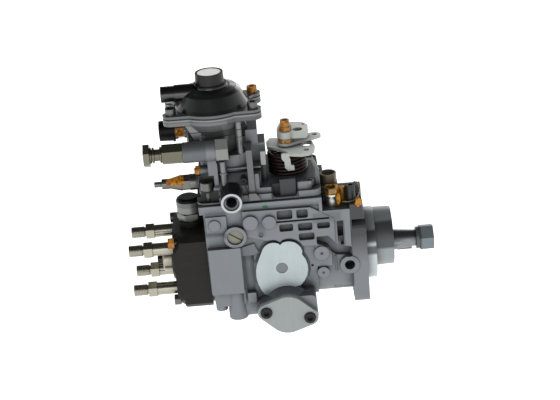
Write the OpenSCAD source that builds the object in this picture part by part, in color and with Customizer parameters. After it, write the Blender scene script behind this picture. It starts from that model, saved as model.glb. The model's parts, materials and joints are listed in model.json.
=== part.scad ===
// Diesel injection pump of the axial-piston distributor type, with four outlets.
// X runs along the drive shaft towards its nut, Z is up, and the origin lies on the
// shaft axis in the front face of the mounting flange.

/* [Mounting] */
// Diameter of the pilot spigot
pilot_d = 68; // [66:0.5:70]
// Length of the pilot spigot
pilot_l = 9.5; // [8:0.5:12]
// Thickness of the mounting flange
flange_t = 14; // [12:0.5:15]
// Width of the flange across the shaft
flange_w = 90; // [88:1:94]
// Height of the flange
flange_h = 84; // [82:1:88]
// Diameter of the circle that the flange holes lie on
flange_pcd = 98; // [96:1:100]
// Diameter of the flange holes
flange_hole_d = 9; // [8.4:0.1:10]

/* [Drive shaft] */
// Diameter of the shaft journal
shaft_d = 20; // [19:0.5:21]
// Length of the tapered end
taper_l = 22; // [20:1:23]
// Diameter of the shaft thread
shaft_thread_d = 14; // [13:0.5:15]
// Width of the shaft nut across its flats
shaft_nut_af = 22; // [21:0.5:24]

/* [Housing] */
// Distance of the near side wall from the shaft axis
near_y = 44; // [43:0.5:46]
// Distance of the far side wall from the shaft axis
far_y = 42; // [40:0.5:44]
// Height of the joint between housing and cover
seam_z = 71; // [70:0.5:72]
// Radius of the drum behind the flange
drum_r = 41.8; // [40:0.2:43]
// Thickness of the cover gasket
gasket_t = 0.6; // [0.4:0.1:1]

/* [Hydraulic head] */
// Half of the head's height and width
head_half = 37; // [36:0.5:38]
// Face where head and housing meet
head_x = -147.5; // [-148:0.5:-147]
// Length of the head outside the housing
head_l = 32.2; // [31.6:0.2:33]
// Distance of each outlet from the shaft axis, sideways and upwards
outlet_offset = 20.7; // [20:0.1:21.5]
// Reach of the outlets from the head's end face
outlet_l = 41.8; // [40:0.2:43]

/* [Boost unit] */
// Place of the boost unit along the shaft
boost_x = -131; // [-133:0.5:-129]
// Height of the joint between bowl and dome
boost_z = 151; // [150:0.5:152]
// Radius of the joint flange between its ears
boost_r = 35; // [34:0.5:36]

/* [Throttle] */
// Place of the throttle shaft along the pump
throttle_x = -66.5; // [-68:0.5:-65]
// Place of the throttle shaft across the pump
throttle_y = -8; // [-9:0.5:-7]
// Outer radius of the throttle spring
spring_r = 18.5; // [17:0.5:19]

/* [Timing device] */
// Place of the timing piston along the pump
timing_x = -78; // [-79:0.5:-77]
// Depth of the timing piston below the shaft axis
timing_z = -38; // [-39:0.5:-37]
// Diameter of the timing piston
timing_d = 24; // [23:0.5:24.5]
// Distance of the cover's outer face from the shaft axis
timing_y = 63; // [61:0.5:64]

/* [Hidden] */

$fn = 48;
eps = 0.1;

cast_grey = [0.52, 0.54, 0.56];
dark_steel = [0.19, 0.17, 0.15];
plated = [0.66, 0.65, 0.56];
bright = [0.78, 0.8, 0.81];
black = [0.1, 0.1, 0.11];
lacquer = [0.8, 0.48, 0.1];
zinc = [0.75, 0.8, 0.77];
spring_steel = [0.2, 0.15, 0.13];
bronze = [0.7, 0.55, 0.3];

// Running and fitting gaps
run_gap = 0.05;

// Stations along the shaft
nose_end = 26.5;
taper_x = 27.5;
thread_x = taper_x + taper_l;
thread_end = thread_x + 17;
pump_bore_r = 30;
pump_x0 = -34;
pump_x1 = -16;
gear_x0 = -45;
gear_x1 = -38;
ring_x0 = -86;
ring_x1 = -74;
cam_x0 = -97;
cam_x1 = -90.5;
cam_lift = 2.2;
collar_x0 = -120.5;
collar_x1 = -110.5;
spigot_end = -128;
bush_r = 13;
plunger_r = 6;

// Governor
governor_z = 46;
gear_module = 2;
drive_teeth = 29;
governor_teeth = 17;
gear_backlash = 0.35;
lever_pivot = [-113, 30];
sleeve_end = -95;

head_end = head_x - head_l;
cover_z = seam_z + gasket_t;
timing_tilt = -12;
timing_bolt_gap = 40.9;
retard_angle = -6;

// Head
boss_l = 3.6;
plunger_end = head_end + 15.7;
solenoid_x = -162.5;
solenoid_seat = 38;

// Cover
cover_x0 = -151.5;
throttle_deck = 83;
boost_deck = 97;
neck_top = 112.5;
room_y = 30;
load_y = -12;
load_z = 82.5;
return_x1 = -130.4;
return_y = -35;
return_z = 121;
post_x = return_x1 + 4.8;
post_y = return_y - 2.6;

// Levers, heights of their undersides
plate_z = 107;
link_z = 110.8;
lever_z = 118;

// Near side
heart = [-80.1, 3.2];
plug_at = [-120.3, 39.1];

// Straight solids named by their ends
module xcyl(d, x0, x1, y = 0, z = 0, d2 = undef) {
    translate([x0, y, z]) rotate([0, 90, 0])
        cylinder(h = x1 - x0, d1 = d, d2 = is_undef(d2) ? d : d2);
}

module ycyl(d, y0, y1, x = 0, z = 0, d2 = undef) {
    translate([x, y0, z]) rotate([-90, 0, 0])
        cylinder(h = y1 - y0, d1 = d, d2 = is_undef(d2) ? d : d2);
}

module zcyl(d, z0, z1, x = 0, y = 0, d2 = undef) {
    translate([x, y, z0]) cylinder(h = z1 - z0, d1 = d, d2 = is_undef(d2) ? d : d2);
}

module xhex(af, x0, x1, y = 0, z = 0, turn = 0) {
    translate([x0, y, z]) rotate([0, 90, 0]) rotate([0, 0, turn])
        cylinder(h = x1 - x0, d = af / cos(30), $fn = 6);
}

module zhex(af, z0, z1, x = 0, y = 0, turn = 0) {
    translate([x, y, z0]) rotate([0, 0, turn]) cylinder(h = z1 - z0, d = af / cos(30), $fn = 6);
}

module block(x, y, z) {
    translate([x[0], y[0], z[0]]) cube([x[1] - x[0], y[1] - y[0], z[1] - z[0]]);
}

// Outlines pushed along one axis
module along_x(x0, x1) {
    translate([x0, 0, 0]) rotate([90, 0, 90]) linear_extrude(x1 - x0) children();
}

module along_y(y0, y1) {
    translate([0, y1, 0]) rotate([90, 0, 0]) linear_extrude(y1 - y0) children();
}

module along_z(z0, z1) {
    translate([0, 0, z0]) linear_extrude(z1 - z0) children();
}

// Points of an arc, both ends included
function arc(c, r, a0, a1, n = 6) =
    [for (i = [0:n]) let (a = a0 + (a1 - a0) * i / n) [c[0] + r * cos(a), c[1] + r * sin(a)]];

// Rectangle with round corners, from its low and high corners
function round_rect(lo, hi, r, n = 5) = concat(
    arc([lo[0] + r, lo[1] + r], r, 180, 270, n),
    arc([hi[0] - r, lo[1] + r], r, 270, 360, n),
    arc([hi[0] - r, hi[1] - r], r, 0, 90, n),
    arc([lo[0] + r, hi[1] - r], r, 90, 180, n)
);

// Outline round a middle circle and two smaller ones at both sides
function lens(big, small, reach, n = 12) =
    let (t = acos((big - small) / reach))
    concat(
        arc([reach, 0], small, -t, t, n / 2),
        arc([0, 0], big, t, 180 - t, n),
        arc([-reach, 0], small, 180 - t, 180 + t, n / 2),
        arc([0, 0], big, 180 + t, 360 - t, n)
    );

// Outline round two circles on a line
function link(r0, r1, reach, n = 10) =
    let (t = acos((r0 - r1) / reach))
    concat(arc([0, 0], r0, t, 360 - t, n), arc([reach, 0], r1, -t, t, n));

// Socket-head screw, its head's underside at the origin, pointing down
module cap_screw(head_d = 10, head_h = 6, shank_d = 6, length = 16, socket = 5) {
    difference() {
        union() {
            cylinder(h = head_h, d = head_d);
            translate([0, 0, -length]) cylinder(h = length + eps, d = shank_d);
        }
        translate([0, 0, head_h * 0.4]) cylinder(h = head_h, d = socket / cos(30), $fn = 6);
    }
}

// Round wire wound about Z, with level ends left out
module coil(r, wire, height, turns, steps = 16, sides = 8, r_top = undef) {
    top = is_undef(r_top) ? r : r_top;
    count = turns * steps;
    ring = [for (i = [0:count], j = [0:sides - 1])
        let (a = 360 * i / steps, b = 360 * j / sides, k = i / count, c = r + (top - r) * k)
        [
            (c + wire / 2 * cos(b)) * cos(a),
            (c + wire / 2 * cos(b)) * sin(a),
            wire / 2 + (height - wire) * k + wire / 2 * sin(b)
        ]];
    walls = [for (i = [0:count - 1], j = [0:sides - 1])
        let (p = i * sides + j, q = i * sides + (j + 1) % sides)
        [p, p + sides, q + sides, q]];
    caps = [
        [for (j = [0:sides - 1]) j],
        [for (j = [sides - 1:-1:0]) count * sides + j]
    ];
    polyhedron(points = ring, faces = concat(walls, caps), convexity = 10);
}

// Flat outline of a spur gear with straight-flanked teeth
module gear_outline(teeth, turn = 0) {
    pitch_r = gear_module * teeth / 2;
    root_r = pitch_r - 1.2 * gear_module;
    tip_r = pitch_r + 0.9 * gear_module;
    half = 90 / teeth - gear_backlash / pitch_r * 57.3;
    root_half = half + 0.45 * gear_module / root_r * 57.3;
    tip_half = half - 0.42 * gear_module / tip_r * 57.3;
    rotate(turn) polygon([for (i = [0:teeth - 1]) let (a = 360 * i / teeth)
        each [
            root_r * [cos(a - root_half), sin(a - root_half)],
            tip_r * [cos(a - tip_half), sin(a - tip_half)],
            tip_r * [cos(a + tip_half), sin(a + tip_half)],
            root_r * [cos(a + root_half), sin(a + root_half)]
        ]]);
}

// Places of the fasteners
head_bolts = [for (y = [-1, 1], z = [-1, 1]) [29.4 * y, 29.4 * z]];
// Cover screws as place, seat, head diameter and head height
cover_bolts = [
    [-141.5, -36, 84, 12.4, 7.5], [-48.6, -33, 77, 10, 6],
    [-143.5, 34, 80, 10, 6], [-47, 34, 77, 10, 6]
];
boost_ears = [for (x = [-1, 1], y = [-1, 1]) [boost_x + 37 * x, 21 * y]];
flange_holes = [for (a = [45:90:315]) flange_pcd / 2 * [cos(a), sin(a)]];
timing_bolts = [for (s = [-1, 1])
    [timing_x + s * timing_bolt_gap / 2 * cos(timing_tilt),
     timing_z + s * timing_bolt_gap / 2 * sin(timing_tilt)]];
outlets = [for (z = [1, -1], y = [-1, 1]) [outlet_offset * y, outlet_offset * z]];

// Cast pump housing

module housing_mass() {
    along_x(-flange_t, 0)
        polygon(round_rect([-flange_w / 2, -flange_h / 2], [flange_w / 2, flange_h / 2], 9));
    xcyl(pilot_d, 0, pilot_l);
    xcyl(56, pilot_l - eps, nose_end, z = 5.6, d2 = 55);
    xcyl(2 * drum_r, -50, -flange_t + eps);
    xcyl(2 * near_y, head_x, -47);
    block([head_x, -33], [-near_y, far_y], [0, 50]);
    block([head_x, -38], [-near_y, far_y], [40, seam_z]);
    // Block above the drum that carries the port tube and the lock bolt
    along_x(-42, -2)
        polygon([[-46, 46], [24, 34], [24, 48], [-20, 54], [-20, seam_z], [-46, seam_z]]);
    along_x(-37.9, -2) polygon([[-46, 66], [-20, 66], [-20, 72], [-46, 72]]);
    along_x(-37.9, -22.4) polygon([[-21, 46], [-5.6, 46], [-5.6, 72], [-21, 72]]);
    // End wall of the governor room
    along_x(-39, -34.2) polygon([[-46, 34], [30, 34], [30, seam_z], [-46, seam_z]]);
    // Shoulder between the ribs and the flange
    block([-48, -flange_t + 1], [-45, -20], [18, 58]);
    // Sump in front of the head
    along_x(-133, -76) polygon(round_rect([-42, -50], [42, 10], 11));
    along_y(-43.4, -28) polygon(round_rect([-145, -34], [-115.6, -14], 5));
    for (p = [[-124.3, -37, 18, -48], [-139.5, -38, 11, -38.5]])
        zcyl(p[2], p[3], -10, p[0], p[1]);
    timing_mass();
}

// Cross body of the timing device
module timing_mass() {
    ycyl(39.5, -timing_y + 5, -near_y + eps, timing_x, timing_z, 47);
    ycyl(47, near_y - eps - 3, timing_y - 5, timing_x, timing_z, 39.5);
    ycyl(44, -near_y - 1, near_y + 1, timing_x, timing_z);
    along_y(-timing_y + 5, timing_y - 5)
        translate([timing_x, timing_z]) rotate(timing_tilt)
            polygon(lens(19.4, 8.4, timing_bolt_gap / 2));
    along_y(-timing_y + 5, timing_y - 5)
        polygon(round_rect([timing_x, timing_z - 9], [-50.5, -22], 5));
}

// Raised details of the near side
module near_side_details() {
    y = -near_y;
    block([-146.5, -116.5], [y - 6, y + 1], [-18, 28.6]);
    ycyl(21, y - 5, y + 1, plug_at[0], plug_at[1]);
    block([-146, -127], [y - 2, y + 1], [43.4, 60]);
    ycyl(10.6, y - 3.5, y, -138.2, 51.6);
    ycyl(13.8, y - 5, y, -105.3, 52);
    ycyl(12.6, y - 5, y, -88.3, 51.2);
    along_y(y - 2.4, y + 1)
        polygon([[-112, 63], [-112, 38], [-64, 24], [-29, 22], [-29, 49], [-50, 62]]);
    ycyl(14, y - 2.5, y + 4, -42.3, 14.5);
    ycyl(11, y - 2.2, y + 4, -41.9, -5.5);
    ycyl(18, y - 2, -30, -17, 0);
    // Light rib beside the flange
    block([-20, -14.6], [y - 2, y + 1], [20, 47]);
    // Parting line
    block([-29.9, -29], [y + 1.4, -38], [-7, 9]);
    // Ledge under the cover joint
    along_x(cover_x0 + 0.5, -38)
        polygon([[y, 62], [y - 3, 68], [y - 3, seam_z], [y + 6, seam_z], [y + 6, 62]]);
    // Bright machined face with its notch
    along_y(y - 3, y + 1) polygon(heart_outline());
    // Web between block and machined face
    along_y(y - 1.5, y + 1) polygon([[-118, 26], [-104, 30], [-100, 20], [-106, 18], [-118, 18]]);
    block([-114, -106], [y - 3, -30], [-30, -20]);
}

// Pockets between the ribs, each from its low to its high corner
rib_pockets = [
    [[-80.8, 52], [-66.6, 61]], [[-62.9, 52], [-52.5, 60.4]], [[-79.4, 39.8], [-66.8, 47.1]],
    [[-62.3, 39.2], [-49.1, 46.8]], [[-44.8, 39.8], [-33.1, 45.9]], [[-62.2, 29.4], [-47.8, 36.6]]
];

// Outline of the bright machined face, two lobes over long flanks
function heart_outline(grow = 1) = [
    for (p = concat(
        arc([-73, 17], 13, 8, 112, 6), [[-80, 26.9]], arc([-86.8, 18.8], 11, 62, 150, 6),
        arc([-68, -2], 36.6, 152, 216, 6), arc([-80, 1.5], 24, -48, 36, 6)
    )) heart + grow * (p - heart)
];

// Dark hollows between the ribs and the flange
module near_side_hollows() {
    y = -near_y;
    for (p = rib_pockets)
        along_y(y - 3, y + 2.6) polygon(round_rect(p[0], p[1], 1.6, 2));
    // Groove under the first row of pockets
    block([-82, -33], [y - 3, y + 0.4], [49, 50.8]);
    // Hollow that runs down to the flange
    along_y(y - 3, y + 8) polygon([
        [-46.2, 31.8], [-46.2, 24.4], [-36.2, 19.3], [-32.9, 12.8], [-29.4, 9.3],
        [-15.6, 8.1], [-15, 18.3], [-26.8, 21.8], [-35.3, 32]
    ]);
    along_y(y - 3, y + 5) polygon([[-26.6, 44.9], [-26.6, 21], [-21, 21], [-21, 46]]);
    // Hollow left of the machined face
    zcyl(11, -20, 18, -110.3, y - 1.5);
    ycyl(5.6, y - 2.5, y - 1.2, -96.7, 38.3, 2);
    for (p = [[-51.7, 1.9], [-51.9, -25.2]])
        ycyl(2.4, y - 1, y + 3, p[0], p[1]);
    for (p = [[-42.3, 14.5], [-41.9, -5.5]])
        ycyl(3.4, y - 3, y - 1.4, p[0], p[1], 2);
    // Groove round the machined face
    along_y(y - 3.1, y + 1.2) difference() {
        polygon(heart_outline(1.1));
        polygon(heart_outline());
        translate([-120, -60]) square([80, 46]);
    }
}

// Ribs and pads of the far side
module far_side_details() {
    for (x = [-130:22:-64])
        block([x, x + 3], [far_y - 1, far_y + 3], [8, 60]);
    block([-136, -58], [far_y - 1, far_y + 3], [58, 61]);
    block([-136, -58], [far_y - 1, far_y + 3], [8, 11]);
    ycyl(24, far_y - 1, far_y + 6, -97, 34);
    ycyl(18, 30, near_y + 1, -17, 0);
}

// Space inside the housing
module housing_room() {
    xcyl(68, head_x - eps, -100);
    xcyl(55, -100 - eps, -60);
    xcyl(64, -60 - eps, -37);
    xcyl(2 * pump_bore_r, -37 - eps, -14);
    xcyl(2 * bush_r, -14 - eps, 14);
    xcyl(30, 14 - eps, nose_end + eps);
    block([-122, -37], [-28, 28], [15, seam_z + eps]);
    xcyl(8, -37.5, -27, z = governor_z);
    ycyl(5.1, -34, 34, lever_pivot[0], lever_pivot[1]);
    ycyl(timing_d, -timing_y + 5 - eps, timing_y - 5 + eps, timing_x, timing_z);
    block([-84, -72], [-9, 9], [-32, -20]);
}

// Recess for the lock bolt, open to the near side and the top
module lock_recess() {
    block([-39, -14], [-47, -24], [57, 73]);
    block([-17, -1], [-47, -29.2], [61, 73]);
    zcyl(8.4, 40, 60, -29, -32);
    zcyl(5.2, 50, 62, -11.6, -34);
}

module pump_housing() {
    color(cast_grey) difference() {
        union() {
            housing_mass();
            near_side_details();
            far_side_details();
        }
        housing_room();
        lock_recess();
        zcyl(13.8, 56, 73, -30.6, -15);
        for (p = flange_holes)
            xcyl(flange_hole_d, -flange_t - 3, eps, p[0], p[1]);
        for (p = flange_holes)
            xcyl(17, -32, -flange_t, p[0], p[1]);
        for (p = head_bolts)
            xcyl(6.4, head_x - eps, head_x + 14, p[0], p[1]);
        for (p = cover_bolts)
            zcyl(6.4, seam_z - 14, seam_z + eps, p[0], p[1]);
        near_side_hollows();
        for (p = timing_bolts, s = [-1, 1])
            ycyl(6.4, s * (timing_y - 9) - 6, s * (timing_y - 9) + 6, p[0], p[1]);
        for (s = [-1, 1])
            ycyl(9.6, s * 39 - 8, s * 39 + 8, -17, 0);
        ycyl(15, -near_y - 6, -near_y + 4, plug_at[0], plug_at[1]);
        ycyl(10.6, -near_y - 4, -near_y + 6, heart[0], heart[1]);
    }
}

// Cast governor cover

module cover_tower() {
    block([-107, -86], [-18.4, 4], [throttle_deck - eps, 118]);
    block([-103, -92.2], [-20, 4], [118 - eps, 132]);
    along_z(boost_deck - eps, neck_top) polygon(round_rect([-146, -room_y], [-102, 32], 12));
    zcyl(50, 108, neck_top, boost_x, 0, 46);
    // Thin ledge in front of the neck
    block([-127, -91.6], [-32.5, 3], [99.4, 101]);
}

module governor_cover() {
    color(cast_grey) {
        difference() {
            cover_mass();
            cover_hollows();
        }
        // Light block in the dark pocket of the near wall
        block([-75.6, -61.2], [-40.4, -33], [73, 89]);
    }
}

module cover_mass() {
    along_z(cover_z, 78) polygon(round_rect([cover_x0, -near_y], [-38.6, far_y], 7));
    along_z(77, throttle_deck)
        polygon(round_rect([cover_x0 + 2.5, -near_y + 3], [-43, far_y - 3], 9));
    // Raised left half, its near edge sloping down
    intersection() {
        along_z(77, boost_deck) polygon(round_rect([cover_x0 + 2.5, -41], [-92, 36], 10));
        along_x(-160, -90) polygon([
            [-42, 76], [-42, 85.6], [-31.4, 95.7], [-28, boost_deck], [37, boost_deck], [37, 76]
        ]);
    }
    cover_tower();
    // Inlet boss
    ycyl(19, -63, -30, -120, 79.5, 21);
    // Cross boss with the return outlet at its left end
    xcyl(19, -160, return_x1, return_y, return_z);
    block([-139, return_x1], [return_y - 4, -26], [85, return_z - 3]);
    // Boss of the full-load screw and of the small screw above it
    xcyl(17, -152, -140, load_y, load_z);
    xcyl(9, -146.5, -138, -28, 100);
    // Rib behind the lever bracket
    block([-98, -94], [-41, -20], [throttle_deck - 1, boost_deck]);
    // Blocks along the near wall
    block([-60, -47], [-41, -36], [throttle_deck - 1, 85.6]);
    zcyl(20, throttle_deck - 1, throttle_deck + 3, throttle_x, throttle_y);
    for (p = cover_bolts)
        zcyl(13, cover_z, p[2], p[0], p[1]);
}

module cover_hollows() {
    // Governor room
    block([-124, -93], [-room_y, room_y], [cover_z - eps, 84]);
    block([-93.1, -56], [-room_y, room_y], [cover_z - eps, throttle_deck - 2.6]);
    block([-138, -108], [-24, 24], [cover_z - eps, 92]);
    zcyl(12, 80, 114, boost_x, 0);
    zcyl(10 + 2 * run_gap, 79, 92, throttle_x, throttle_y);
    // Inlet port
    ycyl(14.6, -64, -61, -120, 79.5);
    ycyl(10, -62, -29.9, -120, 79.5);
    // Return bore
    xcyl(11, -161, return_x1 + 1, return_y, return_z);
    xcyl(6, -153, -128, load_y, load_z);
    xcyl(5.2, -152, -134, -28, 100);
    xcyl(10, -153, -146.5, -28, 100);
    // Seat of the boost unit
    zcyl(50.8, neck_top, 129.3, boost_x, 0);
    zcyl(51, 129, 136, boost_x, 0, 58);
    zcyl(62.5, 135.9, 139, boost_x, 0);
    // Room for the hexagon plug and the foot of its post
    block([-131, -119], [-47, -28], [109.5, 113]);
    zcyl(5.2, 86, 98, post_x, post_y);
    // The corner under the near cap screw is set back
    block([-156, -131.5], [-47, -38.6], [73.4, 82.4]);
    block([-156, -140], [27.5, 44], [80, 98]);
    // The inlet boss is cut level over the housing
    block([-132, -108], [-47.3, -28], [60, cover_z]);
    // Dark pocket in the near wall
    along_y(-45, -34) polygon(round_rect([-83, 73.6], [-60, 88], 4));
    for (p = cover_bolts) {
        zcyl(6.4, cover_z - eps, 90, p[0], p[1]);
        zcyl(p[3] + 3, p[2], 98, p[0], p[1]);
    }
    ycyl(5, -near_y, -31, -107.8, 92);
}

module cover_gasket() {
    color("dimgray") along_z(seam_z, cover_z) difference() {
        polygon(round_rect([cover_x0 + 1, -near_y + 1], [-39, far_y - 1], 6));
        polygon(round_rect([-128, -31], [-55, 31], 3));
        for (p = cover_bolts)
            translate([p[0], p[1]]) circle(d = 7);
    }
}

module cap_screws() {
    color("gray") {
        for (p = head_bolts)
            translate([head_end + 2, p[0], p[1]]) rotate([0, -90, 0]) cap_screw(length = 44);
        for (p = cover_bolts)
            translate([p[0], p[1], p[2]]) cap_screw(head_d = p[3], head_h = p[4], length = p[2] - 58);
        for (p = boost_ears)
            translate([p[0], p[1], boost_z + 2.4])
                cap_screw(head_d = 9.6, length = 11, shank_d = 5.6);
    }
}

module advance_screws() {
    color(black) for (p = timing_bolts, s = [-1, 1])
        translate([p[0], s * (timing_y - 1.5), p[1]]) rotate([-90 * s, 0, 0])
            cap_screw(head_d = 10.4, head_h = 3.5, length = 9);
}

// Steel hydraulic head

module hydraulic_head() {
    h = head_half;
    color(dark_steel) difference() {
        union() {
            along_x(head_end + 6, head_x) polygon([
                [-h, -h + 5], [-h + 5, -h], [h - 5, -h], [h, -h + 5],
                [h, h - 5], [h - 5, h], [-h + 5, h], [-h, h - 5]
            ]);
            xcyl(84, head_end, head_end + 6 + eps, d2 = 92);
            xcyl(38, head_end - boss_l, head_end + eps, d2 = 45);
            xcyl(68 - 2 * run_gap, head_x - eps, spigot_end);
            // Boss of the solenoid, falling away towards the housing
            intersection() {
                zcyl(28, 20, solenoid_seat + 3.6, solenoid_x, 0);
                block([-190, head_x], [-20, 20], [10, 50]);
            }
        }
        difference() {
            block([head_end - 0.01, head_end + 7], [-50, 50], [-50, 50]);
            along_x(head_end - 2, head_end + 8) polygon(round_rect([-h, -h], [h, h], 9));
        }
        xcyl(24, head_end - boss_l - 1, spigot_end + 1);
        for (p = outlets)
            xcyl(13, head_end - 1, head_end + 22, p[0], p[1]);
        for (p = outlets)
            xcyl(4, head_end + 20, head_end + 28, p[0], p[1]);
        for (p = head_bolts) {
            xcyl(6.4, head_end - 1, head_x + 1, p[0], p[1]);
            xcyl(12.5, head_end - 1, head_end + 2, p[0], p[1]);
        }
        zcyl(22.6, solenoid_seat, 48, solenoid_x, 0);
        zcyl(9, 30, solenoid_seat + 1, solenoid_x, 0);
        zcyl(5, 22, 31, solenoid_x, 0);
    }
}

module distributor_sleeve() {
    color("silver") difference() {
        xcyl(24 - 2 * run_gap, head_end + 12, spigot_end + 1);
        xcyl(2 * plunger_r + 2 * run_gap, head_end + 11, spigot_end + 2);
    }
}

module head_plug() {
    plug_end = head_end - boss_l - 9.1;
    color(plated) {
        difference() {
            union() {
                xcyl(24 - 0.4, head_end - boss_l, head_end + 11.5);
                xcyl(23.2, plug_end + 1.2, head_end - boss_l + eps);
                xcyl(21, plug_end, plug_end + 1.2 + eps, d2 = 23.2);
            }
            xcyl(6, plug_end - 1, head_end + 4);
        }
    }
    color(black) {
        xhex(8, plug_end - 5.4, plug_end - 0.02);
        xcyl(5.6, plug_end - 0.1, head_end + 2);
    }
}

// One outlet holder on its own axis, its tip pointing along -X
module outlet_holder(i) {
    tip = head_end - outlet_l;
    p = outlets[i];
    color(plated) difference() {
        union() {
            xcyl(10.6, tip, tip + 12.4, p[0], p[1]);
            xcyl(8.8, tip + 12.3, tip + 14, p[0], p[1]);
            xhex(14, tip + 13.9, tip + 22, p[0], p[1]);
            xcyl(12, tip + 21.9, head_end + 1, p[0], p[1]);
            xcyl(12.4, head_end, head_end + 20, p[0], p[1]);
        }
        xcyl(6, tip - 0.6, tip + 2.4, p[0], p[1], d2 = 2.4);
        xcyl(2.4, tip - 1, head_end + 4, p[0], p[1]);
        xcyl(7.4, head_end + 3, head_end + 21, p[0], p[1]);
    }
}

module delivery_valves() {
    color(bright) for (p = outlets)
        difference() {
            union() {
                xcyl(6.6, head_end + 12, head_end + 19.6, p[0], p[1]);
                xcyl(4, head_end + 8, head_end + 12 + eps, p[0], p[1]);
            }
            xcyl(1.6, head_end + 7, head_end + 16, p[0], p[1]);
        }
}

// Shut-off solenoid

module solenoid_body() {
    color(plated) difference() {
        union() {
            zcyl(22, solenoid_seat + 0.2, 43, solenoid_x, 0);
            zhex(21, 43 - eps, 48, solenoid_x, 0, 10);
            zcyl(20.6, 48 - eps, 49.2, solenoid_x, 0);
            zcyl(23.2, 49.2 - eps, 55.4, solenoid_x, 0);
        }
        zcyl(9, 37, 54, solenoid_x, 0);
    }
}

module solenoid_cap() {
    color(black) {
        zcyl(23.4, 55.4, 60, solenoid_x, 0);
        zcyl(23.4, 60 - eps, 62, solenoid_x, 0, 21.6);
        zcyl(21.6, 62 - eps, 63.4, solenoid_x, 0, 17);
    }
}

module solenoid_armature() {
    color("silver") {
        zcyl(8, 36, 52, solenoid_x, 0);
        zcyl(4, 27, 36 + eps, solenoid_x, 0);
    }
}

// Boost compensator

module flange_outline(grow = 0) {
    translate([boost_x, 0]) circle(r = boost_r + grow);
    for (p = boost_ears)
        translate(p) circle(r = 7.6 + grow);
    for (s = [-1, 1])
        polygon([
            [boost_x - 37, s * (28.6 + grow)], [boost_x - 20, s * (28.7 + grow)],
            [boost_x + 20, s * (28.7 + grow)], [boost_x + 37, s * (28.6 + grow)],
            [boost_x + 44.6 + grow, s * 21], [boost_x + 26, 0],
            [boost_x - 26, 0], [boost_x - 44.6 - grow, s * 21]
        ]);
}

module boost_bowl() {
    color(cast_grey) difference() {
        union() {
            along_z(boost_z - 7, boost_z) flange_outline();
            zcyl(60, boost_z - 15, boost_z - 7 + eps, boost_x, 0, 68);
            zcyl(50, boost_z - 22, boost_z - 15 + eps, boost_x, 0, 56);
            zcyl(46, neck_top + 0.1, boost_z - 22 + eps, boost_x, 0, 50);
            // Ribs down to the neck
            for (a = [80, 140, 215])
                translate([boost_x, 0, 0]) rotate([0, 0, a])
                    block([20, 30], [-1.5, 1.5], [122, boost_z - 7]);
            // Pillar and web under the near edge
            zcyl(5.6, neck_top + 0.1, boost_z - 7 + eps, -108.6, -25.6);
            along_y(-27.4, -24.6) polygon([
                [-156, boost_z - 7 + eps], [-148.4, 127.4], [-144.6, 127.4],
                [-139, boost_z - 7 + eps]
            ]);
            // Boss of the side cap
            xcyl(16, -158.3, -146, -8, 133.4);
        }
        zcyl(54, boost_z - 5, boost_z + eps, boost_x, 0);
        zcyl(42, 124, boost_z - 4, boost_x, 0);
        zcyl(8 + 2 * run_gap, 112, 125, boost_x, 0);
        // Spot face and thread of the side cap
        xcyl(17.6, -170, -158.3, -8, 133.4);
        xcyl(6.4, -161, -148, -8, 133.4);
        for (p = boost_ears)
            zcyl(6, boost_z - 9, boost_z + eps, p[0], p[1]);
    }
}

module boost_dome() {
    nipple_z = boost_z + 16;
    color(black) difference() {
        union() {
            along_z(boost_z, boost_z + 2.4) flange_outline();
            zcyl(67.6, boost_z + 2.4 - eps, boost_z + 5, boost_x, 0, 64.6);
            zcyl(64.6, boost_z + 5 - eps, boost_z + 15.6, boost_x, 0, 54);
            zcyl(54, boost_z + 15.6 - eps, boost_z + 18.4, boost_x, 0, 47);
            zcyl(47, boost_z + 18.4 - eps, boost_z + 20, boost_x, 0, 36);
            // Ring and neck of the cap
            zcyl(32, boost_z + 19, boost_z + 22.4, boost_x, 0, 30);
            zcyl(27, boost_z + 18, boost_z + 32.5, boost_x, 0, 25.6);
            // Air nipple with its gusset
            xcyl(15, boost_x - 45, boost_x - 15, -5, nipple_z);
            xcyl(16.4, boost_x - 32.6, boost_x - 15, -5, nipple_z);
            block([boost_x - 32, boost_x - 22], [-8, -2], [boost_z + 1, nipple_z - 4]);
        }
        zcyl(54, boost_z - eps, boost_z + 4, boost_x, 0);
        zcyl(54, boost_z + 4 - eps, boost_z + 14, boost_x, 0, 42);
        zcyl(20, boost_z + 13, boost_z + 28, boost_x, 0);
        zcyl(21.5, boost_z + 30.6, boost_z + 33, boost_x, 0);
        xcyl(6, boost_x - 46, boost_x - 8, -5, nipple_z);
        for (p = boost_ears)
            zcyl(6, boost_z - eps, boost_z + 4, p[0], p[1]);
        for (p = boost_ears)
            zcyl(10.4, boost_z + 2.4, boost_z + 20, p[0], p[1]);
    }
}

module boost_cap_disc() {
    color([0.74, 0.73, 0.67]) zcyl(21.3, boost_z + 30.7, boost_z + 32.2, boost_x, 0);
}

module boost_diaphragm() {
    color("gray") {
        zcyl(50, boost_z + 1, boost_z + 3, boost_x, 0);
        zcyl(40, boost_z + 3 - eps, boost_z + 5, boost_x, 0, 36);
        zcyl(12, boost_z - 3, boost_z + 1 + eps, boost_x, 0);
        zcyl(8, 96, boost_z - 3 + eps, boost_x, 0);
        zcyl(5.6, 88, 96 + eps, boost_x, 0, 8);
    }
}

module boost_spring() {
    color(spring_steel) translate([boost_x, 0, 125])
        coil(15, 2.4, boost_z + 0.8 - 125, 5);
}

module side_cap() {
    color(black) {
        xcyl(18.4, -181, -167.6, -8, 133.4, 19.6);
        xcyl(21, -168.6, -166.7, -8, 133.4);
    }
}

module side_nut() {
    color(lacquer) difference() {
        union() {
            xcyl(17, -166.6, -164, -8, 133.4);
            xhex(14, -164 - eps, -158.4, -8, 133.4);
        }
        xcyl(6.4, -168, -158, -8, 133.4);
    }
    color("silver") xcyl(6, -166, -149, -8, 133.4);
}

// Return banjo stub on the cover

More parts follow.
